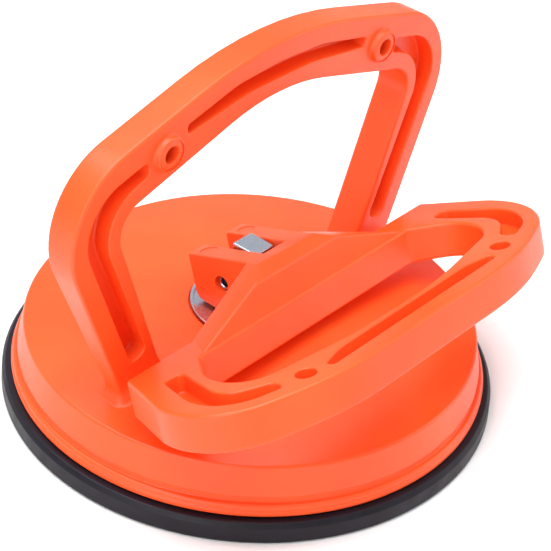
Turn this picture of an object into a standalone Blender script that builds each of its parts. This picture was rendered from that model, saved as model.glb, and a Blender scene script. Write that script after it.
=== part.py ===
"""Single-cup vacuum lifter.

A rubber cup is clamped under a domed plastic base whose fixed arch handle is moulded in one with it. A steel link,
bonded to the middle of the rubber, stands up through the dome and carries a pivot pin. A loop-shaped cam lever turns
on that pin: raised against the fixed handle, its cams press on a dished steel washer and pull the link, and with it
the middle of the rubber, upwards. The lever is modelled lying open, with the cup released.

World frame: origin at the middle of the rubber's underside, Z up, X along the pivot pin, the open lever towards -Y.
All constants are in millimetres; objects are made in metres.
"""

import math

import bmesh
import bpy
from mathutils import Matrix, Vector

MM = 0.001
GAP = 0.3  # between parts that touch in the real object
ROUND_SEGMENTS = 96
HOLE_SEGMENTS = 32

# Rubber cup
CUP_R = 59.0
RIM_HEIGHT = 5.4
SEAL_INNER_R = 50.0  # the flat sealing ring runs from here to the rim
CUP_HOLLOW = 1.8  # height of the hollow under the middle of the cup
DIAPHRAGM_TOP = 4.2

# Base: lip, groove, tapered wall and shallow dome
LIP_R = 56.7
LIP_HEIGHT = 3.0
GROOVE_R = 55.0
SHOULDER_R = 53.8
SHOULDER_Z = 17.8
SHOULDER_ROUND = 1.2
DOME_TOP = 22.7
SHELL = 2.6
RECESS_FLOOR = 21.2  # the round recess in the dome's middle that holds the washer
RECESS_SHELL = 2.4

# Fixed arch handle, in its own frame: local X across, local Y up the front face, local Z out of it
ARCH_FACE_Y = -2.7  # world Y of the front face
ARCH_BOSS_Z = 79.6
ARCH_THICK = 9.0
ARCH_FOOT = -62.5
BOSS_X = 35.2
BOSS_UP = -0.3
BOSS_R = 3.9
BOSS_PROUD = 1.4
BOSS_HOLE_R = 2.0
HOLE_DEPTH = 5.0  # of the blind holes in both handles
CHANNEL_DEPTH = 4.2  # in the fixed handle
LEVER_CHANNEL_DEPTH = 3.2

# Cam lever, in its own frame: local Y (v) runs along the top face towards the hinge, local Z (n) out of it
LEVER_TILT = math.radians(20.4)
LEVER_HOLES_Y = -43.4
LEVER_HOLES_Z = 44.57
LEVER_THICK = 9.0
LEVER_BACK = 37.0
LEVER_HOLE_X = 34.3
LEVER_HOLE_R = 2.4
EAR_IN, EAR_OUT = 3.7, 9.3
EAR_TOP = 9.6
EAR_END = 56.9
PIN_V, PIN_N = 47.6, 2.9
PIN_R = 2.0
CAM_LOW = 7.65  # pin down to the ears' flat underside with the lever open
CAM_ROUND = 2.5
CAM_CLEARANCE = 0.75  # play under the open lever; the ears' corners take it up as the lever turns

# Steel parts
WASHER_R = 14.9
WASHER_SHEET = 0.8
WASHER_RIM = 1.5  # height of the rim over the underside
LINK_HALF_X = 3.2
LINK_Y = (-2.3, 4.9)
LINK_TOP = 38.2
LINK_FOOT_R = 7.0
INSERT_R = 19.0
INSERT_THICK = 1.8

ORANGE = (0.90, 0.115, 0.02)
RUBBER = (0.030, 0.028, 0.038)
STEEL = (0.60, 0.64, 0.70)


# ---------------------------------------------------------------- helpers


def material(name, colour, roughness, metallic=0.0):
    mat = bpy.data.materials.new(name)
    mat.use_nodes = True
    shader = mat.node_tree.nodes["Principled BSDF"]
    shader.inputs["Base Color"].default_value = (*colour, 1.0)
    shader.inputs["Roughness"].default_value = roughness
    shader.inputs["Metallic"].default_value = metallic
    mat.diffuse_color = (*colour, 1.0)
    return mat


def rounded(corners, closed=True, step=math.radians(9)):
    """The points of a polygon whose corners (x, y, radius) are rounded with arcs."""
    count = len(corners)
    points = []
    for i, (x, y, radius) in enumerate(corners):
        here = Vector((x, y))
        if radius <= 0 or (not closed and i in (0, count - 1)):
            points.append(here)
            continue
        to_last = (Vector(corners[i - 1][:2]) - here).normalized()
        to_next = (Vector(corners[(i + 1) % count][:2]) - here).normalized()
        half = to_last.angle(to_next) / 2
        centre = here + (to_last + to_next).normalized() * (radius / math.sin(half))
        start = here + to_last * (radius / math.tan(half)) - centre
        end = here + to_next * (radius / math.tan(half)) - centre
        turn = math.atan2(start.cross(end), start.dot(end))
        steps = max(2, round(abs(turn) / step))
        for k in range(steps + 1):
            a = turn * k / steps
            points.append(centre + Matrix.Rotation(a, 2) @ start)
    return [(p.x, p.y) for p in points]


def mirrored(half):
    """A closed outline from its right half, listed from the middle round to the middle."""
    return half + [(-x, y) for x, y in reversed(half) if abs(x) > 1e-6]


def new_object(name, bm, mat=None, frame=None):
    """An object from a bmesh in millimetres, placed by frame; its faces are turned to face out."""
    bmesh.ops.recalc_face_normals(bm, faces=bm.faces)
    mesh = bpy.data.meshes.new(name)
    bm.to_mesh(mesh)
    bm.free()
    mesh.transform(Matrix.Scale(MM, 4))
    obj = bpy.data.objects.new(name, mesh)
    if frame is not None:
        obj.matrix_world = frame
    if mat is not None:
        mesh.materials.append(mat)
    bpy.context.scene.collection.objects.link(obj)
    return obj


def prism_mesh(outline, low, high):
    """A bmesh of a flat outline in local XY, from low to high along local Z."""
    bm = bmesh.new()
    rings = [[bm.verts.new((x, y, z)) for x, y in outline] for z in (low, high)]
    bm.faces.new(rings[0])
    bm.faces.new(rings[1])
    for i in range(len(outline)):
        j = (i + 1) % len(outline)
        bm.faces.new((rings[0][i], rings[0][j], rings[1][j], rings[1][i]))
    return bm


def lathe_mesh(profile, segments):
    """A bmesh of a closed profile (r, z) turned about Z."""
    bm = bmesh.new()
    rings = []
    for r, z in profile:
        if r < 1e-6:
            rings.append([bm.verts.new((0, 0, z))])
        else:
            angles = [2 * math.pi * k / segments for k in range(segments)]
            rings.append([bm.verts.new((r * math.cos(a), r * math.sin(a), z)) for a in angles])
    for low, high in zip(rings, rings[1:] + rings[:1]):
        if len(low) == 1 and len(high) == 1:
            continue
        for k in range(segments):
            j = (k + 1) % segments
            corners = [low[k % len(low)], low[j % len(low)], high[j % len(high)], high[k % len(high)]]
            bm.faces.new(list(dict.fromkeys(corners)))
    return bm


def hull_mesh(points):
    bm = bmesh.new()
    for p in points:
        bm.verts.new(p)
    bmesh.ops.convex_hull(bm, input=bm.verts)
    return bm


def combine(obj, other, operation):
    """Adds a live Boolean; the other object becomes a hidden helper."""
    other.hide_render = True
    other.display_type = "WIRE"
    modifier = obj.modifiers.new(f"{operation.lower()}_{other.name}", "BOOLEAN")
    modifier.operation = operation
    modifier.solver = "EXACT"
    modifier.object = other


def shade_round(obj, angle=math.radians(35)):
    """Smooth shading, but with the edges sharper than angle kept."""
    obj.data.shade_smooth()
    obj.data.set_sharp_from_angle(angle=angle)


def circle(x, y, radius, segments=HOLE_SEGMENTS):
    angles = [2 * math.pi * k / segments for k in range(segments)]
    return [(x + radius * math.cos(a), y + radius * math.sin(a)) for a in angles]


def across_frame(y, z, angle):
    """The frame at world (0, y, z) whose local X is world X, turned by angle about it."""
    return Matrix.Translation((0, y * MM, z * MM)) @ Matrix.Rotation(angle, 4, "X")


ARCH_FRAME = across_frame(ARCH_FACE_Y, ARCH_BOSS_Z, math.radians(90))
LEVER_FRAME = across_frame(LEVER_HOLES_Y, LEVER_HOLES_Z, -LEVER_TILT)
PIN_AT = LEVER_FRAME @ Vector((0, PIN_V * MM, PIN_N * MM))
PIN_FRAME = Matrix.Translation(PIN_AT)
WASHER_FLOOR = PIN_AT.z / MM - CAM_LOW - CAM_CLEARANCE


# ---------------------------------------------------------------- rubber cup


def make_cup(mat):
    rim = RIM_HEIGHT
    profile = [(0, CUP_HOLLOW), (SEAL_INNER_R * 0.6, CUP_HOLLOW * 0.92), (SEAL_INNER_R * 0.92, CUP_HOLLOW * 0.6)]
    profile += [(SEAL_INNER_R, 0), (CUP_R - 1.3, 0), (CUP_R - 0.4, 0.4), (CUP_R, 1.4), (CUP_R, rim - 1.6)]
    profile += [(CUP_R - 0.35, rim - 0.5), (CUP_R - 1.1, rim), (49.5, rim), (48.0, DIAPHRAGM_TOP)]
    profile += [(0, DIAPHRAGM_TOP)]
    cup = new_object("rubber_cup", lathe_mesh(profile, ROUND_SEGMENTS), mat)
    shade_round(cup)


# ---------------------------------------------------------------- base with its fixed handle


def dome_z(r):
    return DOME_TOP - (DOME_TOP - SHOULDER_Z) * (r / SHOULDER_R) ** 2


def base_profile():
    bottom = RIM_HEIGHT + GAP
    lip_top = bottom + LIP_HEIGHT
    outer = [(LIP_R - 0.8, bottom), (LIP_R, bottom + 0.8), (LIP_R, lip_top - 0.9), (LIP_R - 0.5, lip_top - 0.2)]
    outer += [(GROOVE_R + 0.4, lip_top), (GROOVE_R, lip_top + 0.3), (GROOVE_R, lip_top + 1.2)]
    outer += [(SHOULDER_R, SHOULDER_Z - SHOULDER_ROUND), (SHOULDER_R - 0.35, SHOULDER_Z - 0.35)]
    recess_r = WASHER_R + GAP
    outer += [(r, dome_z(r)) for r in (SHOULDER_R - SHOULDER_ROUND, 44, 33, 22, recess_r)]
    outer += [(recess_r, RECESS_FLOOR), (0, RECESS_FLOOR)]
    under = RECESS_FLOOR - RECESS_SHELL
    inner = [(0, under), (recess_r + 2, under), (recess_r + 3, dome_z(recess_r) - SHELL)]
    inner += [(r, dome_z(r) - SHELL) for r in (32, SHOULDER_R - SHELL - 1.0)]
    inner += [(GROOVE_R - SHELL, lip_top + 1.2), (50.4, bottom)]
    return outer + inner


def arch_outer():
    """Right half of the handle's outer edge, from the top's middle to the foot."""
    corners = [(0, 13.4, 0), (13, 13.4, 95), (68.4, -1.8, 20), (47.2, -56.5, 6), (49.0, ARCH_FOOT, 0)]
    return rounded(corners, closed=False)


def arch_inner():
    corners = [(0, 0.5, 0), (8, 0.5, 55), (49.9, -11.6, 7), (35.4, -52.0, 12), (30.0, ARCH_FOOT, 0)]
    return rounded(corners, closed=False)


def arch_channels():
    """Outlines of the three grooves in the handle's front face."""
    corner = [(40.4, -0.4, 1.3), (61.4, -6.0, 12), (43.6, -51.0, 2.2)]
    corner = rounded(corner + [(38.6, -50.0, 2.2), (54.9, -9.2, 11), (40.2, -3.9, 1.3)])
    half = [(0, 8.4, 0), (14, 7.6, 30), (29.2, 3.8, 1.0), (29.0, 1.5, 0.9), (10, 4.4, 40), (0, 4.4, 0)]
    return [corner, [(-x, y) for x, y in corner], mirrored(rounded(half, closed=False))]


def make_base(mat):
    base = new_object("base_with_fixed_handle", lathe_mesh(base_profile(), ROUND_SEGMENTS), mat)

    outline = mirrored(arch_outer())
    outline = outline[len(arch_outer()):] + outline[: len(arch_outer())]
    outline += [(x, y) for x, y in reversed(arch_inner())] + [(-x, y) for x, y in arch_inner()[1:]]
    arch = new_object("arch", prism_mesh(outline, -ARCH_THICK, 0), frame=ARCH_FRAME)
    combine(base, arch, "UNION")

    for side in (-1, 1):
        x = side * BOSS_X
        boss = prism_mesh(circle(x, BOSS_UP, BOSS_R), -1, BOSS_PROUD)
        combine(base, new_object(f"boss_{side}", boss, frame=ARCH_FRAME), "UNION")
    for side in (-1, 1):
        x = side * BOSS_X
        hole = prism_mesh(circle(x, BOSS_UP, BOSS_HOLE_R), -HOLE_DEPTH, BOSS_PROUD + 1)
        combine(base, new_object(f"boss_hole_{side}", hole, frame=ARCH_FRAME), "DIFFERENCE")
    for i, outline in enumerate(arch_channels()):
        groove = prism_mesh(outline, -CHANNEL_DEPTH, 2)
        combine(base, new_object(f"arch_channel_{i}", groove, frame=ARCH_FRAME), "DIFFERENCE")

    combine(base, new_object("link_slot", link_slot(0.6, 10, 30)), "DIFFERENCE")
    shade_round(base)


# ---------------------------------------------------------------- cam lever


def lever_outer():
    """Right half of the lever's outer edge, from the grip's middle round to the hinge side."""
    corners = [(0, -8, 0), (31, -8, 60), (64.9, 5.4, 18.5), (51.3, LEVER_BACK, 1.0), (0, LEVER_BACK, 0)]
    return rounded(corners, closed=False)


def lever_opening():
    corners = [(0, 2.9, 0), (14, 2.9, 60), (43.5, 8.8, 9), (43.6, 20.5, 10), (36.5, 29.2, 2.5), (0, 29.2, 0)]
    return rounded(corners, closed=False)


def lever_channels():
    """Outlines of the three grooves in the lever's top face: two crescents and a straight one."""
    crescent = [(40.2, 0.2, 1.6), (57.2, 6.2, 12), (48.8, 28.0, 1.8)]
    crescent = rounded(crescent + [(44.0, 27.4, 1.4), (49.3, 10.4, 7), (40.2, 4.2, 1.6)])
    half = [(0, 1.2, 0), (22, 1.2, 8), (29, -0.9, 0.9), (28.6, -2.9, 0.8), (0, -2.9, 0)]
    return [crescent, [(-x, y) for x, y in crescent], mirrored(rounded(half, closed=False))]


def wedge_mesh():
    """The raised block on the hinge side, between the loop and the ears."""
    top = EAR_TOP - 0.03  # not quite flush, so that the union with the ears stays clean
    right = [(34.8, 29.3, -1), (34.8, 29.3, 0), (13.2, 30.8, 7.3), (EAR_OUT, 34.0, top)]
    right += [(EAR_OUT, LEVER_BACK + 0.8, top), (31.0, LEVER_BACK - 0.1, 0), (31.0, LEVER_BACK - 0.1, -1)]
    right += [(EAR_OUT, LEVER_BACK + 0.8, -1)]
    return hull_mesh(right + [(-x, v, n) for x, v, n in right])


def ear_profile():
    """Side view of an ear, (v, n): with the lever open its underside is level, and its corner is the cam."""
    level = Vector((math.cos(LEVER_TILT), math.sin(LEVER_TILT)))
    under = Vector((PIN_V, PIN_N)) + CAM_LOW * Vector((level.y, -level.x))

    def at(v):
        return under + level * ((v - under.x) / level.x)

    root, front, corner = LEVER_BACK - 2.6, at(LEVER_BACK + 1.5), at(EAR_END)
    corners = [(root, EAR_TOP, 0), (root, -LEVER_THICK + 0.8, 0), (front.x, front.y, 0)]
    corners += [(corner.x, corner.y, CAM_ROUND)]
    return rounded(corners + [(EAR_END, EAR_TOP, 0.8)])


def make_lever(mat):
    to_pin = Matrix.Translation((0, -PIN_V, -PIN_N))
    frame = LEVER_FRAME @ Matrix.Translation((0, PIN_V * MM, PIN_N * MM))

    def piece(name, bm, mat=None):
        bmesh.ops.transform(bm, matrix=to_pin, verts=bm.verts)
        return new_object(name, bm, mat, frame)

    lever = piece("cam_lever", prism_mesh(mirrored(lever_outer()), -LEVER_THICK, 0), mat)
    opening = piece("lever_opening", prism_mesh(mirrored(lever_opening()), -LEVER_THICK - 2, 2))
    combine(lever, opening, "DIFFERENCE")
    combine(lever, piece("wedge", wedge_mesh()), "UNION")

    for side in (-1, 1):
        bm = prism_mesh(ear_profile(), EAR_IN, EAR_OUT)
        # Local (v, n, thickness) to (thickness, v, n), on the side that is wanted.
        turn = Matrix(((0, 0, side, 0), (1, 0, 0, 0), (0, 1, 0, 0), (0, 0, 0, 1)))
        bmesh.ops.transform(bm, matrix=turn, verts=bm.verts)
        combine(lever, piece(f"ear_{side}", bm), "UNION")
    bore = cylinder_x_mesh(PIN_R + 0.06, EAR_OUT + 2)
    combine(lever, new_object("pin_bore", bore, frame=PIN_FRAME), "DIFFERENCE")

    for side in (-1, 1):
        hole = prism_mesh(circle(side * LEVER_HOLE_X, 0, LEVER_HOLE_R), -HOLE_DEPTH, 2)
        combine(lever, piece(f"lever_hole_{side}", hole), "DIFFERENCE")
    for i, outline in enumerate(lever_channels()):
        groove = prism_mesh(outline, -LEVER_CHANNEL_DEPTH, 2)
        combine(lever, piece(f"lever_channel_{i}", groove), "DIFFERENCE")
    shade_round(lever)


# ---------------------------------------------------------------- steel parts


def link_slot(clear, low, high):
    """A cutter for the link's way through, wider than the link by clear on each side."""
    x, (y0, y1) = LINK_HALF_X + clear, LINK_Y
    return prism_mesh([(-x, y0 - clear), (x, y0 - clear), (x, y1 + clear), (-x, y1 + clear)], low, high)


def cylinder_x_mesh(radius, half_length):
    """A cylinder along X about the origin."""
    bm = prism_mesh(circle(0, 0, radius), -half_length, half_length)
    bmesh.ops.rotate(bm, matrix=Matrix.Rotation(math.radians(90), 3, "Y"), verts=bm.verts)
    return bm


def make_pin(mat):
    length = EAR_OUT - 0.8
    chamfer = 0.4
    profile = [(0, -length), (PIN_R - chamfer, -length), (PIN_R, chamfer - length)]
    profile += [(PIN_R, length - chamfer), (PIN_R - chamfer, length), (0, length)]
    bm = lathe_mesh(profile, HOLE_SEGMENTS)
    bmesh.ops.rotate(bm, matrix=Matrix.Rotation(math.radians(90), 3, "Y"), verts=bm.verts)
    shade_round(new_object("pivot_pin", bm, mat, PIN_FRAME))


def make_link(mat):
    """The upright link: a flat-topped bar with the pin's eye near its top and a round foot."""
    pin_y, pin_z = PIN_AT.y / MM, PIN_AT.z / MM
    foot_low = DIAPHRAGM_TOP + INSERT_THICK + 2 * GAP
    foot_thick = 2.0
    x, (y0, y1) = LINK_HALF_X, LINK_Y
    bar = [(-x, y0), (x, y0), (x, y1), (-x, y1)]
    # The origin lies on the link's sliding axis, at its foot.
    frame = Matrix.Translation((0, 0, foot_low * MM))
    link = new_object("steel_link", prism_mesh(bar, 1.0, LINK_TOP - foot_low), mat, frame)
    foot = prism_mesh(circle(0, sum(LINK_Y) / 2, LINK_FOOT_R), 0, foot_thick)
    combine(link, new_object("link_foot", foot, frame=frame), "UNION")
    eye_frame = Matrix.Translation((0, pin_y * MM, pin_z * MM))
    combine(link, new_object("link_eye", cylinder_x_mesh(PIN_R + 0.1, x + 2), frame=eye_frame), "DIFFERENCE")
    shade_round(link)


def make_insert(mat):
    """The steel disc bonded to the middle of the rubber."""
    low = DIAPHRAGM_TOP + GAP
    profile = [(0, 0), (INSERT_R, 0), (INSERT_R, INSERT_THICK - 0.4), (INSERT_R - 0.4, INSERT_THICK), (0, INSERT_THICK)]
    frame = Matrix.Translation((0, 0, low * MM))
    shade_round(new_object("insert_plate", lathe_mesh(profile, 64), mat, frame))


def make_washer(mat):
    """The dished washer in the dome's recess that the cams bear on."""
    low = WASHER_FLOOR - WASHER_SHEET
    rim = WASHER_R - WASHER_SHEET
    profile = [(0, low), (WASHER_R - 0.6, low), (WASHER_R, low + 0.6), (WASHER_R, low + WASHER_RIM)]
    profile += [(rim, low + WASHER_RIM), (rim, low + WASHER_SHEET + 0.2), (rim - 0.2, low + WASHER_SHEET)]
    profile += [(0, low + WASHER_SHEET)]
    washer = new_object("dished_washer", lathe_mesh(profile, 64), mat)
    combine(washer, new_object("washer_slot", link_slot(0.4, low - 2, low + 2)), "DIFFERENCE")
    shade_round(washer)


def main():
    for obj in list(bpy.data.objects):
        bpy.data.objects.remove(obj)
    make_cup(material("rubber", RUBBER, 0.55))
    make_base(material("orange_plastic", ORANGE, 0.38))
    make_lever(material("orange_lever_plastic", ORANGE, 0.38))
    make_washer(material("washer_steel", STEEL, 0.30, 1.0))
    make_link(material("link_steel", STEEL, 0.28, 1.0))
    make_insert(material("insert_steel", STEEL, 0.40, 1.0))
    make_pin(material("pin_steel", STEEL, 0.22, 1.0))


main()
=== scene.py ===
"""Looks of the single-cup vacuum lifter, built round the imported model.

Sizes are in millimetres and repeat the design's driving dimensions. Objects are made in metres. The base and
its handle are one moulding and the lever is another. The rubber, washer, link, insert plate and pin are pieces
of their own.
"""

import math

import bmesh
import bpy
from mathutils import Matrix, Vector


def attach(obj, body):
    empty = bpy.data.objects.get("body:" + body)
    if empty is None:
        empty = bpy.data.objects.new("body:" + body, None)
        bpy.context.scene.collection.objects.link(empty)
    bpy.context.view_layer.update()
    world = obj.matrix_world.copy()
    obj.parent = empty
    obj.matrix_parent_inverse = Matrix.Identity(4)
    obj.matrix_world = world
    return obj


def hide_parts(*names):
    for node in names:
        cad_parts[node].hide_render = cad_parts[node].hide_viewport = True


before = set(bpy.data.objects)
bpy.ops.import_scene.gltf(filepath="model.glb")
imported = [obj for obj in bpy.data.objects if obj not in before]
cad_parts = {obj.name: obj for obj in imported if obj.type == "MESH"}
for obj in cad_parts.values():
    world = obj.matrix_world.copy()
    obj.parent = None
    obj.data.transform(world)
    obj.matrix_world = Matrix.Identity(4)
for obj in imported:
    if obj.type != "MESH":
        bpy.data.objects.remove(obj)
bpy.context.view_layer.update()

MM = 0.001
TURN = 2 * math.pi

# Rubber cup and base
CUP_R = 59.0
RIM_HEIGHT = 5.4
DIAPHRAGM_TOP = 4.2
LIP_R = 56.7
LIP_LOW = RIM_HEIGHT + 0.3
LIP_TOP = LIP_LOW + 3.0
GROOVE_R = 55.0
SHOULDER_R = 53.8
SHOULDER_Z = 17.8
DOME_TOP = 22.7
SHELL = 2.6
RECESS_R = 15.2
RECESS_FLOOR = 21.2
RECESS_UNDER = 18.8
RUBBER_GAP = 0.3  # between the rubber and what lies on it

# Fixed handle: an upright plate whose front face passes through (y, z)
ARCH_Y, ARCH_Z = -2.7, 79.6
ARCH_THICK = 9.0
ARCH_FOOT = -62.5
BOSS_AT = (35.2, -0.3)
BOSS_R = 3.9
BOSS_PROUD = 1.4
BOSS_HOLE_R = 2.0
FOOT_RISE, FOOT_REACH = 5.0, 2.2  # the legs' fillets, up the leg and out along the dome
OUTER_DRAFT = 1.3  # how much thinner the handle is along its outer edge,
FOOT_DRAFT = 3.0  # and how much more at the feet,
DRAFT_FROM = -20.0  # which begins at this height of the handle's own frame
DRAFT_LENGTH = 36.0  # and grows over this length

# Both handles
PLATE_EDGE = 0.8
CHANNEL_DEPTH = 4.2
HOLE_DEPTH = 5.0

# Lever: a plate through its two small holes, tilted down to the hinge
LEVER_Y, LEVER_Z = -43.4, 44.57
LEVER_TILT = math.radians(20.4)
LEVER_THICK = 9.0
LEVER_BACK = 37.0
LEVER_HOLE_X = 34.3
LEVER_HOLE_R = 2.4
EAR_IN, EAR_OUT = 3.7, 9.3
EAR_TOP = 9.6
EAR_END = 56.9
WEDGE_TOP = EAR_TOP - 0.03  # not quite flush, so that the union with the ears stays clean
WEDGE_UNDER = -2.0
MARK_R, MARK_DEPTH = 2.2, 0.15
MARK_FROM_END = 4.4
PIN_V, PIN_N = 47.6, 2.9
PIN_R = 2.0
PIN_INSET = 1.0  # the pin's ends lie this far inside the ears' faces
PIN_BORE, PIN_BORE_DEPTH = 1.25, 5.0
CAM_LOW = 7.65
CAM_ROUND = 2.5
CAM_CLEARANCE = 0.75

# Steel parts
WASHER_R = 14.9
WASHER_SHEET = 0.8
WASHER_RIM = 1.5
LINK_HALF_X = 3.2
LINK_Y = (-2.3, 4.9)
LINK_TOP = 38.2
LINK_FOOT_R = 7.0
LINK_FOOT_THICK = 2.0
INSERT_R = 19.0
INSERT_THICK = 1.8

# Camera: focal length over the frame's width, (azimuth, elevation, roll) in degrees, and place in metres
CAMERA_FOCAL = 3.3818
CAMERA_ANGLES = (-51.69, 35.20, 5.30)
CAMERA_AT = (-0.2763, -0.2243, 0.2814)


# ---------------------------------------------------------------- outlines


def rounded(corners, closed=True, step=math.radians(5)):
    """The points of a polygon whose corners (x, y, radius) are rounded with arcs."""
    count = len(corners)
    points = []
    for i, (x, y, radius) in enumerate(corners):
        here = Vector((x, y))
        if radius <= 0 or (not closed and i in (0, count - 1)):
            points.append(here)
            continue
        to_last = (Vector(corners[i - 1][:2]) - here).normalized()
        to_next = (Vector(corners[(i + 1) % count][:2]) - here).normalized()
        half = to_last.angle(to_next) / 2
        centre = here + (to_last + to_next).normalized() * (radius / math.sin(half))
        start = here + to_last * (radius / math.tan(half)) - centre
        end = here + to_next * (radius / math.tan(half)) - centre
        turn = math.atan2(start.cross(end), start.dot(end))
        steps = max(2, math.ceil(abs(turn) / step))
        for k in range(steps + 1):
            points.append(centre + Matrix.Rotation(turn * k / steps, 2) @ start)
    return [(p.x, p.y) for p in points]


def mirrored(half):
    """A closed outline from its right half, listed from the middle round to the middle."""
    return half + [(-x, y) for x, y in reversed(half) if abs(x) > 1e-6]


def area(loop):
    return sum(a[0] * b[1] - b[0] * a[1] for a, b in zip(loop, loop[1:] + loop[:1])) / 2


def counter_clockwise(loop):
    return loop if area(loop) > 0 else loop[::-1]


def offset(loop, distance):
    """A counter-clockwise loop grown by distance, or shrunk where it is negative."""
    moved = []
    for i, (x, y) in enumerate(loop):
        a, here, b = Vector(loop[i - 1]), Vector((x, y)), Vector(loop[(i + 1) % len(loop)])
        first, second = (here - a).normalized(), (b - here).normalized()
        out = Vector((first.y + second.y, -first.x - second.x)).normalized()
        reach = distance / max(0.5, out.dot(Vector((first.y, -first.x))))
        moved.append((x + out.x * reach, y + out.y * reach))
    return moved


def circle(x, y, radius, segments=40):
    angles = [TURN * k / segments for k in range(segments)]
    return [(x + radius * math.cos(a), y + radius * math.sin(a)) for a in angles]


# ---------------------------------------------------------------- meshes


def ring(bm, loop, z):
    return [bm.verts.new((x, y, z)) for x, y in loop]


def bridge(bm, rings):
    """Faces between rings that have the same number of points."""
    for low, high in zip(rings, rings[1:]):
        for i in range(len(low)):
            j = (i + 1) % len(low)
            bm.faces.new((low[i], low[j], high[j], high[i]))


def ring_edges(bm, vertices):
    sides = zip(vertices, vertices[1:] + vertices[:1])
    return [bm.edges.get(side) or bm.edges.new(side) for side in sides]


def quarter(steps=4):
    """(1 - sin, 1 - cos) from 0 to 90 degrees: how a rounded edge leaves the face and meets the wall."""
    angles = [math.pi / 2 * k / steps for k in range(steps + 1)]
    return [(1 - math.sin(a), 1 - math.cos(a)) for a in angles]


def edge_rings(bm, loop, face_z, depth_sign, grow, radius):
    """The rings of a rounded edge, from the face inwards.

    grow is 1 for an opening's edge and -1 for an outer edge, and depth_sign says which way the wall goes in Z.
    """
    rings = []
    for out, down in quarter():
        rings.append(ring(bm, offset(loop, grow * radius * out), face_z + depth_sign * radius * down))
    return rings


def plate_mesh(outline, thickness, openings=(), grooves=(), blind_holes=(), bosses=()):
    """A flat plate below local z = 0, with rounded edges, and with grooves, holes and hollow bosses on top.

    thickness(x, y) is the plate's thickness at a point of its outlines. A boss is (x, y, radius, height, bore
    radius).
    """
    bm = bmesh.new()
    top, bottom = [], []

    for loop, grow in [(outline, -1)] + [(opening, 1) for opening in openings]:
        loop = counter_clockwise(loop)
        upper = edge_rings(bm, loop, 0, -1, grow, PLATE_EDGE)
        lower = edge_rings(bm, loop, 0, 1, grow, PLATE_EDGE)
        for vertices in lower:
            for vertex, (x, y) in zip(vertices, loop):
                vertex.co.z -= thickness(x, y)
        bridge(bm, upper + lower[::-1])
        top += ring_edges(bm, upper[0])
        bottom += ring_edges(bm, lower[0])

    def pocket(loop, z, lip, depth, draft, floor_round):
        """A recess in the face at z: its rounded mouth, walls and floor. Returns the mouth's edges."""
        rings = edge_rings(bm, loop, z, -1, 1, lip)
        low = z - depth + floor_round
        for out, down in quarter()[::-1]:
            rings.append(ring(bm, offset(loop, -draft - floor_round * out), low - floor_round * (1 - down)))
        bridge(bm, rings)
        bmesh.ops.triangle_fill(bm, edges=ring_edges(bm, rings[-1]), use_beauty=True)
        return ring_edges(bm, rings[0])

    for loop in grooves:
        top += pocket(counter_clockwise(loop), 0, 0.45, CHANNEL_DEPTH, 0.2, 0.6)
    for loop in blind_holes:
        top += pocket(counter_clockwise(loop), 0, 0.25, HOLE_DEPTH, 0.1, 0.3)
    for x, y, radius, proud, bore in bosses:
        foot, crown = 0.6, 0.35
        rings = [ring(bm, circle(x, y, radius + foot * out), foot * down) for down, out in quarter()[::-1]]
        rings += [ring(bm, circle(x, y, radius - crown * d), proud - crown * o) for o, d in quarter()[::-1]]
        bridge(bm, rings)
        top += ring_edges(bm, rings[0])
        mouth = pocket(circle(x, y, bore), proud, 0.2, HOLE_DEPTH, 0.05, 0.3)
        bmesh.ops.triangle_fill(bm, edges=ring_edges(bm, rings[-1]) + mouth, use_beauty=True)

    bmesh.ops.triangle_fill(bm, edges=top, use_beauty=True)
    bmesh.ops.triangle_fill(bm, edges=bottom, use_beauty=True)
    return bm


def lathe_mesh(profile, segments=256):
    """A closed profile (r, z) turned about Z."""
    bm = bmesh.new()
    rings = []
    for r, z in profile:
        rings.append([bm.verts.new((0, 0, z))] if r < 1e-6 else ring(bm, circle(0, 0, r, segments), z))
    for low, high in zip(rings, rings[1:] + rings[:1]):
        if len(low) == 1 and len(high) == 1:
            continue
        for k in range(segments):
            j = (k + 1) % segments
            corners = [low[k % len(low)], low[j % len(low)], high[j % len(high)], high[k % len(high)]]
            bm.faces.new(list(dict.fromkeys(corners)))  # a ring of one point, on the axis, gives triangles
    return bm


def prism_mesh(outline, low, high):
    bm = bmesh.new()
    rings = [ring(bm, outline, z) for z in (low, high)]
    bm.faces.new(rings[0])
    bm.faces.new(rings[1])
    bridge(bm, rings)
    return bm


def soften(bm, width, segments=3, sharper=math.radians(25)):
    """Bevels every edge that turns by more than sharper."""
    bmesh.ops.recalc_face_normals(bm, faces=bm.faces)
    edges = [e for e in bm.edges if len(e.link_faces) == 2 and e.calc_face_angle() > sharper]
    bmesh.ops.bevel(
        bm, geom=edges, offset=width, segments=segments, profile=0.5, affect="EDGES", clamp_overlap=True
    )


def mesh_object(name, bm, placed=None):
    """An object from a bmesh in millimetres, moved by placed (also in millimetres) and scaled to metres."""
    bmesh.ops.recalc_face_normals(bm, faces=bm.faces)
    if placed is not None:
        bmesh.ops.transform(bm, matrix=placed, verts=bm.verts)
    bmesh.ops.scale(bm, vec=(MM, MM, MM), verts=bm.verts)
    mesh = bpy.data.meshes.new(name)
    bm.to_mesh(mesh)
    bm.free()
    obj = bpy.data.objects.new(name, mesh)
    bpy.context.scene.collection.objects.link(obj)
    return obj


def combine(obj, others, operation):
    """Unites obj with others, or cuts them from it, and removes them."""
    for other in others:
        modifier = obj.modifiers.new("combine", "BOOLEAN")
        modifier.operation = operation
        modifier.solver = "EXACT"
        modifier.object = other
        graph = bpy.context.evaluated_depsgraph_get()
        mesh = bpy.data.meshes.new_from_object(obj.evaluated_get(graph))
        obj.modifiers.clear()
        old = obj.data
        obj.data = mesh
        bpy.data.meshes.remove(old)
        bpy.data.objects.remove(other)


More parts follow.
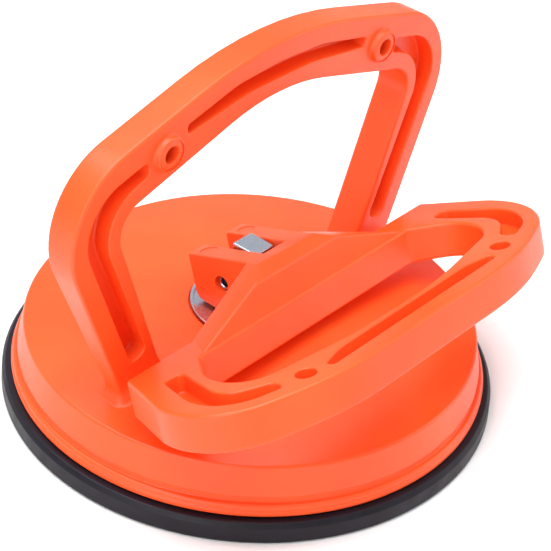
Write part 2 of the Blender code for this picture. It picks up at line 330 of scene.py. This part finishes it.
def finish_shading(obj, sharp=math.radians(32)):
    """Smooth shading that keeps flat faces flat."""
    obj.data.shade_smooth()
    obj.data.set_sharp_from_angle(angle=sharp)
    weighted = obj.modifiers.new("weighted_normals", "WEIGHTED_NORMAL")
    weighted.weight = 100
    weighted.keep_sharp = True


# ---------------------------------------------------------------- frames, in millimetres


def across(y, z, angle):
    """The frame at (0, y, z) whose local X is world X, turned by angle about it."""
    return Matrix.Translation((0, y, z)) @ Matrix.Rotation(angle, 4, "X")


ARCH = across(ARCH_Y, ARCH_Z, math.radians(90))
LEVER = across(LEVER_Y, LEVER_Z, -LEVER_TILT)
PIN = Matrix.Translation(LEVER @ Vector((0, PIN_V, PIN_N)))
PIN_Z = PIN.translation.z
WASHER_LOW = PIN_Z - CAM_LOW - CAM_CLEARANCE - WASHER_SHEET
EDGE_ON = Matrix(((0, 0, 1, 0), (1, 0, 0, 0), (0, 1, 0, 0), (0, 0, 0, 1)))  # (v, n, x) to (x, v, n)
ALONG_X = Matrix.Rotation(math.radians(90), 4, "Y")


def slot_cutter(clear, low, high):
    x, (y0, y1) = LINK_HALF_X + clear, LINK_Y
    return prism_mesh([(-x, y0 - clear), (x, y0 - clear), (x, y1 + clear), (-x, y1 + clear)], low, high)


# ---------------------------------------------------------------- base and fixed handle


def dome_z(r):
    return DOME_TOP - (DOME_TOP - SHOULDER_Z) * (r / SHOULDER_R) ** 2


def base_profile():
    """The housing's section: lip, bead, groove, wall, shoulder, dome and recess, then back underneath."""
    outer = rounded(
        [
            (50.4, LIP_LOW, 0),
            (LIP_R, LIP_LOW, 0.7),
            (LIP_R, LIP_LOW + 1.55, 0.5),
            (LIP_R - 0.35, LIP_LOW + 1.75, 0.25),
            (LIP_R - 0.35, LIP_TOP, 0.8),
            (GROOVE_R, LIP_TOP, 0.35),
            (GROOVE_R - 0.1, LIP_TOP + 1.3, 0.3),
            (GROOVE_R + 0.25, LIP_TOP + 1.6, 0.3),
            (SHOULDER_R, SHOULDER_Z, 0.9),
            (48.0, dome_z(48.0), 0),
        ],
        closed=False,
        step=math.radians(12),
    )
    outer += [(r, dome_z(r)) for r in range(46, 16, -2)]
    outer += rounded(
        [
            (RECESS_R + 0.8, dome_z(RECESS_R), 0),
            (RECESS_R, dome_z(RECESS_R), 0.3),
            (RECESS_R, RECESS_FLOOR, 0.2),
            (0, RECESS_FLOOR, 0),
        ],
        closed=False,
        step=math.radians(20),
    )
    inner = [(0, RECESS_UNDER), (RECESS_R + 2, RECESS_UNDER), (RECESS_R + 3, dome_z(RECESS_R) - SHELL)]
    inner += [(r, dome_z(r) - SHELL) for r in (24, 32, 40, SHOULDER_R - SHELL - 1.0)]
    return outer + inner + [(GROOVE_R - SHELL, LIP_TOP + 1.2)]


def arch_halves():
    """Right halves of the handle's outer edge, from top to foot, and of its inner edge, from foot to top."""
    outer = [(0, 13.4, 0), (13, 13.4, 95), (68.4, -1.8, 20), (46.8, -57.5, 6), (46.0, ARCH_FOOT, 0)]
    inner = [(31.0, ARCH_FOOT, 0), (35.0, -53.0, 9), (49.9, -11.6, 7), (8, 0.5, 55), (0, 0.5, 0)]
    return rounded(outer, closed=False), rounded(inner, closed=False)


def arch_mesh():
    outer, inner = arch_halves()

    def thickness(x, y):
        if (abs(x), y) not in outer:
            return ARCH_THICK
        towards_foot = min(1.0, max(0.0, (DRAFT_FROM - y) / DRAFT_LENGTH))
        return ARCH_THICK - OUTER_DRAFT - FOOT_DRAFT * towards_foot

    right = outer + inner
    outline = right + [(-x, y) for x, y in reversed(right) if x > 1e-6]
    bosses = [(side * BOSS_AT[0], BOSS_AT[1], BOSS_R, BOSS_PROUD, BOSS_HOLE_R) for side in (-1, 1)]
    return plate_mesh(outline, thickness, grooves=arch_grooves(), bosses=bosses)


def arch_grooves():
    corner = [(40.4, -0.4, 1.3), (61.4, -6.0, 12), (43.6, -51.0, 2.2)]
    corner = rounded(corner + [(38.6, -50.0, 2.2), (54.9, -9.2, 11), (40.2, -3.9, 1.3)])
    half = [(0, 8.4, 0), (14, 7.6, 30), (29.2, 3.8, 1.0), (29.0, 1.5, 0.9), (10, 4.4, 40), (0, 4.4, 0)]
    return [corner, [(-x, y) for x, y in corner], mirrored(rounded(half, closed=False))]


def flare_feet(obj):
    """Spreads the legs into a fillet at the dome, after level cuts that give it points to bend at."""
    bm = bmesh.new()
    bm.from_mesh(obj.data)
    heights = [17.2 + 0.16 * k for k in range(28)]  # closest at the dome
    heights += [21.8 + 0.45 * k for k in range(20)]
    for z in heights:
        geometry = bm.verts[:] + bm.edges[:] + bm.faces[:]
        bmesh.ops.bisect_plane(bm, geom=geometry, plane_co=(0, 0, z * MM), plane_no=(0, 0, 1), dist=1e-7)
    bm.normal_update()
    for vert in bm.verts:
        x, y, z = vert.co / MM
        out = Vector((vert.normal.x, vert.normal.y))
        if out.length < 0.3:  # a point of a level face
            continue
        out.normalize()
        reach = math.hypot(x + out.x * FOOT_REACH, y + out.y * FOOT_REACH)
        rise = min(1.0, max(0.0, (z - dome_z(reach)) / FOOT_RISE))
        vert.co.xy += out * (FOOT_REACH * (1 - math.sqrt(1 - (1 - rise) ** 2)) * MM)
    bm.to_mesh(obj.data)
    bm.free()


def make_base():
    base = mesh_object("base_moulding", lathe_mesh(base_profile()))
    arch = mesh_object("arch", arch_mesh(), ARCH)
    flare_feet(arch)
    combine(base, [arch], "UNION")
    combine(base, [mesh_object("slot", slot_cutter(0.6, 10, 30))], "DIFFERENCE")
    finish_shading(base)
    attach(base, "base")
    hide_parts("base_with_fixed_handle")
    return base


# ---------------------------------------------------------------- lever


def lever_outline():
    corners = [(0, -8, 0), (31, -8, 60), (64.9, 5.4, 18.5), (51.3, LEVER_BACK, 1.0), (0, LEVER_BACK, 0)]
    return mirrored(rounded(corners, closed=False))


def lever_opening():
    corners = [(0, 2.9, 0), (14, 2.9, 60), (43.5, 8.8, 9), (43.6, 20.5, 10), (36.5, 29.2, 2.5), (0, 29.2, 0)]
    return mirrored(rounded(corners, closed=False))


def lever_grooves():
    crescent = [(40.2, 0.2, 1.6), (57.2, 6.2, 12), (48.8, 28.0, 1.8)]
    crescent = rounded(crescent + [(44.0, 27.4, 1.4), (49.3, 10.4, 7), (40.2, 4.2, 1.6)])
    half = [(0, 1.2, 0), (22, 1.2, 8), (29, -0.9, 0.9), (28.6, -2.9, 0.8), (0, -2.9, 0)]
    return [crescent, [(-x, y) for x, y in crescent], mirrored(rounded(half, closed=False))]


def wedge_mesh():
    """The raised block on the hinge side, between the loop and the ears."""
    right = [
        (34.8, 29.6, WEDGE_UNDER),
        (34.8, 29.6, 0),
        (14.2, 30.8, 7.3),
        (EAR_OUT, 34.0, WEDGE_TOP),
        (EAR_OUT, LEVER_BACK + 0.8, WEDGE_TOP),
        (31.0, LEVER_BACK - 0.1, 0),
        (31.0, LEVER_BACK - 0.1, WEDGE_UNDER),
        (EAR_OUT, LEVER_BACK + 0.8, WEDGE_UNDER),
    ]
    bm = bmesh.new()
    for x, v, n in right + [(-x, v, n) for x, v, n in right]:
        bm.verts.new((x, v, n))
    bmesh.ops.convex_hull(bm, input=bm.verts)
    bmesh.ops.dissolve_limit(bm, angle_limit=math.radians(1), verts=bm.verts, edges=bm.edges)
    return bm


def ear_profile():
    """Side view of an ear, (v, n): with the lever open its underside is level, and its corner is the cam."""
    level = Vector((math.cos(LEVER_TILT), math.sin(LEVER_TILT)))
    under = Vector((PIN_V, PIN_N)) + CAM_LOW * Vector((level.y, -level.x))

    def at(v):
        return under + level * ((v - under.x) / level.x)

    root, front, corner = LEVER_BACK - 2.6, at(LEVER_BACK + 1.5), at(EAR_END)
    corners = [(root, EAR_TOP, 0), (root, -LEVER_THICK + PLATE_EDGE, 0), (front.x, front.y, 0)]
    corners += [(corner.x, corner.y, CAM_ROUND)]
    return rounded(corners + [(EAR_END, EAR_TOP, 0.8)], step=math.radians(8))


def make_lever():
    holes = [circle(side * LEVER_HOLE_X, 0, LEVER_HOLE_R) for side in (-1, 1)]
    plate = plate_mesh(lever_outline(), lambda x, y: LEVER_THICK, [lever_opening()], lever_grooves(), holes)
    lever = mesh_object("lever_moulding", plate, LEVER)
    wedge = wedge_mesh()
    soften(wedge, 0.5)
    ears = []
    for side in (-1, 1):
        low, high = sorted((side * EAR_IN, side * EAR_OUT))
        bm = prism_mesh(ear_profile(), low, high)
        bmesh.ops.transform(bm, matrix=EDGE_ON, verts=bm.verts)
        soften(bm, 0.35, 2, math.radians(50))
        ears.append(mesh_object("ear", bm, LEVER))
    combine(lever, [mesh_object("wedge", wedge, LEVER)] + ears, "UNION")
    bore = prism_mesh(circle(0, 0, PIN_R + 0.06), -EAR_OUT - 2, EAR_OUT + 2)
    cutters = [mesh_object("bore", bore, PIN @ ALONG_X)]
    for side in (-1, 1):
        mark = circle(side * (EAR_IN + EAR_OUT) / 2, EAR_END - MARK_FROM_END, MARK_R)
        cutters.append(mesh_object("mark", prism_mesh(mark, EAR_TOP - MARK_DEPTH, EAR_TOP + 1), LEVER))
    combine(lever, cutters, "DIFFERENCE")
    finish_shading(lever)
    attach(lever, "lever")
    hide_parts("cam_lever")
    return lever


# ---------------------------------------------------------------- rubber and steel


def make_rubber():
    rim = RIM_HEIGHT
    profile = [(0, 1.8), (15, 1.77), (30, 1.65), (40, 1.35), (46, 1.05), (48, 0.75)]
    profile += rounded(
        [
            (49.2, 0.3, 0),
            (50.0, 0.0, 0.6),
            (53.2, 0.0, 0.15),
            (53.5, 0.35, 0.15),
            (54.1, 0.35, 0.15),
            (54.4, 0.0, 0.15),
            (CUP_R - 0.5, 0.0, 0.35),
            (CUP_R, 0.7, 0.5),
            (CUP_R - 0.15, rim - 1.1, 0.6),
            (CUP_R - 1.0, rim, 0.6),
            (49.5, rim, 0.3),
            (48.6, DIAPHRAGM_TOP, 0.4),
            (20.0, DIAPHRAGM_TOP, 0),
        ],
        closed=False,
        step=math.radians(12),
    )
    rubber = mesh_object("rubber_disc", lathe_mesh(profile + [(0, DIAPHRAGM_TOP)]))
    finish_shading(rubber)
    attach(rubber, "base")
    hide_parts("rubber_cup")
    return rubber


def make_washer():
    low, inside = WASHER_LOW, WASHER_R - WASHER_SHEET
    corners = [
        (10, low, 0),
        (WASHER_R, low, 1.0),
        (WASHER_R, low + WASHER_RIM, 0.12),
        (inside, low + WASHER_RIM, 0.2),
        (inside, low + WASHER_SHEET, 0.3),
        (10, low + WASHER_SHEET, 0),
    ]
    profile = rounded(corners, closed=False, step=math.radians(15))
    washer = mesh_object("washer", lathe_mesh([(0, low)] + profile + [(0, low + WASHER_SHEET)], 128))
    combine(washer, [mesh_object("slot", slot_cutter(0.4, low - 2, low + 2))], "DIFFERENCE")
    finish_shading(washer)
    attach(washer, "base")
    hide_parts("dished_washer")
    return washer


def make_link():
    foot_low = DIAPHRAGM_TOP + INSERT_THICK + 2 * RUBBER_GAP
    foot_top = foot_low + LINK_FOOT_THICK
    middle = sum(LINK_Y) / 2
    x, (y0, y1) = LINK_HALF_X, LINK_Y
    bar = prism_mesh([(-x, y0), (x, y0), (x, y1), (-x, y1)], foot_low + 1, LINK_TOP)
    soften(bar, 0.35, 3)
    link = mesh_object("link", bar)
    foot = [(0, foot_low), (LINK_FOOT_R, foot_low)]
    foot += [(LINK_FOOT_R, foot_top - 0.3), (LINK_FOOT_R - 0.3, foot_top)]
    disc = mesh_object("foot", lathe_mesh(foot + [(0, foot_top)], 64), Matrix.Translation((0, middle, 0)))
    combine(link, [disc], "UNION")
    eye = prism_mesh(circle(0, 0, PIN_R + 0.1), -x - 2, x + 2)
    combine(link, [mesh_object("eye", eye, PIN @ ALONG_X)], "DIFFERENCE")
    finish_shading(link)
    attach(link, "stem")
    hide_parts("steel_link")
    return link


def make_insert():
    low = DIAPHRAGM_TOP + RUBBER_GAP
    high = low + INSERT_THICK
    profile = [(0, low), (INSERT_R - 0.2, low), (INSERT_R, low + 0.2)]
    profile += [(INSERT_R, high - 0.4), (INSERT_R - 0.4, high)]
    insert = mesh_object("insert_disc", lathe_mesh(profile + [(0, high)], 128))
    finish_shading(insert)
    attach(insert, "stem")
    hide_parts("insert_plate")
    return insert


def make_pin():
    """The pivot pin, with a blind bore in each end, set a little below the ears' faces."""
    end = EAR_OUT - PIN_INSET
    half = [(0, end - PIN_BORE_DEPTH), (PIN_BORE, end - PIN_BORE_DEPTH), (PIN_BORE, end - 0.25)]
    half += [(PIN_BORE + 0.2, end), (PIN_R - 0.35, end), (PIN_R, end - 0.5)]
    profile = half + [(r, -z) for r, z in reversed(half)]
    pin = mesh_object("pin", lathe_mesh(profile, 48), PIN @ ALONG_X)
    finish_shading(pin)
    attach(pin, "lever")
    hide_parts("pivot_pin")
    return pin


# ---------------------------------------------------------------- materials


def linear(red, green, blue):
    """A linear colour from sRGB values of 0 to 255."""

    def channel(value):
        value /= 255
        return value / 12.92 if value <= 0.04045 else ((value + 0.055) / 1.055) ** 2.4

    return (channel(red), channel(green), channel(blue), 1.0)


def new_material(name, roughness, metallic=0.0):
    material = bpy.data.materials.new(name)
    material.use_nodes = True
    shader = material.node_tree.nodes["Principled BSDF"]
    shader.inputs["Roughness"].default_value = roughness
    shader.inputs["Metallic"].default_value = metallic
    return material, shader


def noise(tree, scale, detail=3.0, stretch=(1, 1, 1)):
    """A noise of about 1/scale metres in the object's own coordinates, drawn out where stretch is small."""
    place = tree.nodes.new("ShaderNodeTexCoord")
    mapping = tree.nodes.new("ShaderNodeMapping")
    mapping.inputs["Scale"].default_value = stretch
    texture = tree.nodes.new("ShaderNodeTexNoise")
    texture.inputs["Scale"].default_value = scale
    texture.inputs["Detail"].default_value = detail
    tree.links.new(place.outputs["Object"], mapping.inputs["Vector"])
    tree.links.new(mapping.outputs["Vector"], texture.inputs["Vector"])
    return texture.outputs["Fac"]


def ramp(tree, value, stops):
    """value, spread over stops of (position, colour)."""
    node = tree.nodes.new("ShaderNodeValToRGB")
    tree.links.new(value, node.inputs["Fac"])
    while len(node.color_ramp.elements) < len(stops):
        node.color_ramp.elements.new(0.5)
    for element, (position, colour) in zip(node.color_ramp.elements, stops):
        element.position = position
        element.color = colour
    return node.outputs["Color"]


def grey(value):
    return (value, value, value, 1.0)


def bump(tree, heights, shader):
    """Bumps from (height, strength, distance in metres), one on top of another."""
    last = None
    for height, strength, distance in heights:
        node = tree.nodes.new("ShaderNodeBump")
        node.inputs["Strength"].default_value = strength
        node.inputs["Distance"].default_value = distance
        tree.links.new(height, node.inputs["Height"])
        if last is not None:
            tree.links.new(last, node.inputs["Normal"])
        last = node.outputs["Normal"]
    tree.links.new(last, shader.inputs["Normal"])


def plastic(name):
    """Orange moulded plastic: satin, a little translucent, with faint flow marks and a fine grain."""
    material, shader = new_material(name, 0.36)
    tree = material.node_tree
    shader.inputs["Specular IOR Level"].default_value = 0.42
    shader.inputs["Subsurface Weight"].default_value = 0.10
    shader.inputs["Subsurface Radius"].default_value = (1.0, 0.28, 0.08)
    shader.inputs["Subsurface Scale"].default_value = 0.0022
    flow = noise(tree, 34, 2.0, (1.0, 1.0, 0.45))
    shades = [(0.30, linear(244, 78, 24)), (0.52, linear(246, 84, 29)), (0.74, linear(247, 91, 35))]
    tree.links.new(ramp(tree, flow, shades), shader.inputs["Base Color"])
    rough = ramp(tree, noise(tree, 160, 4.0), [(0.25, grey(0.32)), (0.75, grey(0.42))])
    tree.links.new(rough, shader.inputs["Roughness"])
    bump(tree, [(noise(tree, 3200, 2.0), 0.10, 0.00004), (noise(tree, 60, 2.0), 0.12, 0.0001)], shader)
    return material


def rubber_material():
    """Dark rubber with a faint bloom and fine moulded grain."""
    material, shader = new_material("rubber", 0.5)
    tree = material.node_tree
    shader.inputs["Specular IOR Level"].default_value = 0.3
    bloom = ramp(tree, noise(tree, 90, 5.0), [(0.3, linear(12, 9, 19)), (0.7, linear(20, 16, 30))])
    tree.links.new(bloom, shader.inputs["Base Color"])
    rough = ramp(tree, noise(tree, 240, 4.0), [(0.3, grey(0.42)), (0.7, grey(0.56))])
    tree.links.new(rough, shader.inputs["Roughness"])
    bump(tree, [(noise(tree, 2400, 3.0), 0.2, 0.00005)], shader)
    return material


def steel(name, roughness, stretch):
    """Zinc-plated steel with drawn scratches along one direction and slight mottling."""
    material, shader = new_material(name, roughness, 1.0)
    tree = material.node_tree
    tint = ramp(tree, noise(tree, 120, 3.0), [(0.3, linear(196, 204, 220)), (0.7, linear(208, 215, 228))])
    tree.links.new(tint, shader.inputs["Base Color"])
    lines = noise(tree, 900, 3.0, stretch)
    rough = ramp(tree, lines, [(0.3, grey(roughness - 0.04)), (0.7, grey(roughness + 0.06))])
    tree.links.new(rough, shader.inputs["Roughness"])
    bump(tree, [(lines, 0.03, 0.00002)], shader)
    return material


# ---------------------------------------------------------------- floor, light and camera


def make_floor():
    """A pale floor that curves up behind and round the object at a distance."""
    bm = bmesh.new()
    profile = [(0, 0), (600, 0), (1400, 0), (1900, 90), (2300, 400), (2500, 900), (2550, 1800)]
    segments = 64
    rings = []
    for r, z in profile:
        rings.append([bm.verts.new((0, 0, z))] if r == 0 else ring(bm, circle(0, 0, r, segments), z))
    for k in range(segments):
        bm.faces.new((rings[0][0], rings[1][k], rings[1][(k + 1) % segments]))
    bridge(bm, rings[1:])
    floor = mesh_object("floor", bm, Matrix.Translation((0, 0, -0.02)))  # just clear of the rubber
    floor.data.flip_normals()
    floor.data.shade_smooth()
    material, shader = new_material("floor", 0.6)
    shader.inputs["Base Color"].default_value = grey(0.92)
    shader.inputs["Specular IOR Level"].default_value = 0.2
    floor.data.materials.append(material)


def area_light(name, place, target, size, power):
    data = bpy.data.lights.new(name, "AREA")
    data.shape = "RECTANGLE"
    data.size, data.size_y = size
    data.energy = power
    light = bpy.data.objects.new(name, data)
    light.location = place
    light.rotation_euler = (Vector(target) - Vector(place)).to_track_quat("-Z", "Y").to_euler()
    bpy.context.scene.collection.objects.link(light)


def make_lights():
    world = bpy.data.worlds.new("studio")
    world.use_nodes = True
    background = world.node_tree.nodes["Background"]
    background.inputs["Color"].default_value = (1.0, 1.0, 1.0, 1.0)
    background.inputs["Strength"].default_value = 0.58
    bpy.context.scene.world = world
    middle = (0, 0, 0.035)
    area_light("softbox_top", (-0.1, 0.1, 0.95), middle, (0.9, 0.9), 13.0)
    area_light("softbox_left", (-0.85, -0.25, 0.45), middle, (0.5, 0.7), 3.6)
    area_light("softbox_right", (0.75, -0.55, 0.40), middle, (0.45, 0.6), 1.8)


def make_camera():
    data = bpy.data.cameras.new("camera")
    data.sensor_width = 36.0
    data.lens = 36.0 * CAMERA_FOCAL
    data.clip_start = 0.01
    camera = bpy.data.objects.new("camera", data)
    azimuth, elevation, roll = (math.radians(a) for a in CAMERA_ANGLES)
    away = Vector((math.sin(azimuth), -math.cos(azimuth), 0))
    back = away * math.cos(elevation) + Vector((0, 0, math.sin(elevation)))
    right = Vector((math.cos(azimuth), math.sin(azimuth), 0))
    up = back.cross(right)
    level = Matrix((right, up, back)).transposed()
    turned = level @ Matrix.Rotation(roll, 3, "Z")
    camera.matrix_world = Matrix.Translation(Vector(CAMERA_AT)) @ turned.to_4x4()
    bpy.context.scene.collection.objects.link(camera)
    bpy.context.scene.camera = camera


def main():
    bpy.context.scene.view_settings.view_transform = "Standard"
    make_camera()
    make_lights()
    make_floor()
    orange, orange_lever = plastic("orange_plastic"), plastic("orange_lever_plastic")
    painted = [
        (make_base(), orange),
        (make_lever(), orange_lever),
        (make_rubber(), rubber_material()),
        (make_washer(), steel("washer_steel", 0.26, (1, 1, 1))),
        (make_link(), steel("link_steel", 0.24, (1, 1, 0.08))),
        (make_insert(), steel("insert_steel", 0.34, (1, 1, 1))),
        (make_pin(), steel("pin_steel", 0.2, (0.08, 1, 1))),
    ]
    for obj, material in painted:
        obj.data.materials.clear()
        obj.data.materials.append(material)


main()
